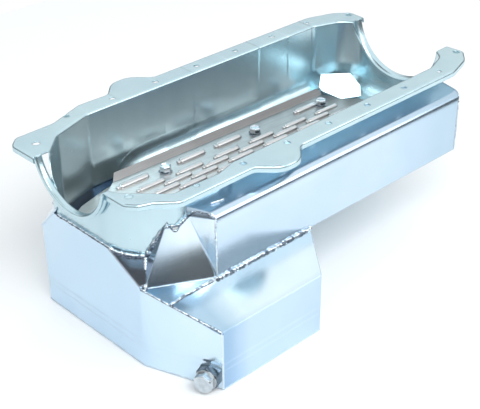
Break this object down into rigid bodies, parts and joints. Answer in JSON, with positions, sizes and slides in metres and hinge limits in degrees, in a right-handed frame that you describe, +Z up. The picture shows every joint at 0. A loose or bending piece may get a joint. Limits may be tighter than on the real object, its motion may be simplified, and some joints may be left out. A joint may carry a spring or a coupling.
{
  "type": "engine oil pan",
  "caption": "Fabricated rear-sump engine oil pan with bolt flange, half-round seal seats, side kick-out, drain plug and louvered windage tray.",
  "frame": {"origin": "centre of the rail bolt pattern, on the gasket face of the flange", "axes": "+X towards the front of the engine, +Z up to the block, the kick-out is on the -Y side"},
  "size_m": [0.5357, 0.3272, 0.19],
  "materials": {
    "zinc_shell": "bright zinc plated pressed steel, bluish, satin",
    "zinc_sump": "bright zinc plated folded steel, pale blue",
    "zinc_extension": "bright zinc plated folded steel, pale blue",
    "zinc_kickout": "bright zinc plated folded steel, glossy",
    "zinc_relief": "bright zinc plated folded steel, glossy",
    "zinc_gusset": "bright zinc plated steel",
    "bung_steel": "turned and milled steel, zinc plated",
    "plug_steel": "bright zinc plated steel",
    "washer_copper": "soft copper sealing ring",
    "tray_aluminium": "mill finish aluminium sheet, warm grey",
    "boss_steel": "turned steel, zinc plated",
    "screw_zinc": "bright zinc plated steel",
    "lock_washer_steel": "bright zinc plated spring steel",
    "baffle_aluminium": "mill finish aluminium sheet",
    "zinc_angles": "zinc plated folded steel"
  },
  "bodies": {
    "root": {"upper_shell": "zinc_shell", "sump_wrap": "zinc_sump", "sump_floor": "zinc_sump", "extension_cover": "zinc_extension", "kickout_skin": "zinc_kickout", "kickout_front_cap": "zinc_kickout", "starter_relief_panel": "zinc_relief", "shoulder_gusset_near": "zinc_gusset", "shoulder_gusset_far": "zinc_gusset", "drain_bung": "bung_steel", "drain_plug": "plug_steel", "drain_plug_washer": "washer_copper", "windage_tray": "tray_aluminium", "tray_bosses": "boss_steel", "tray_screws": "screw_zinc", "tray_lock_washers": "lock_washer_steel", "sump_baffle": "baffle_aluminium", "baffle_angle_rear": "zinc_angles", "baffle_angle_front": "zinc_angles", "baffle_screws": "screw_zinc"}
  },
  "joints": []
}
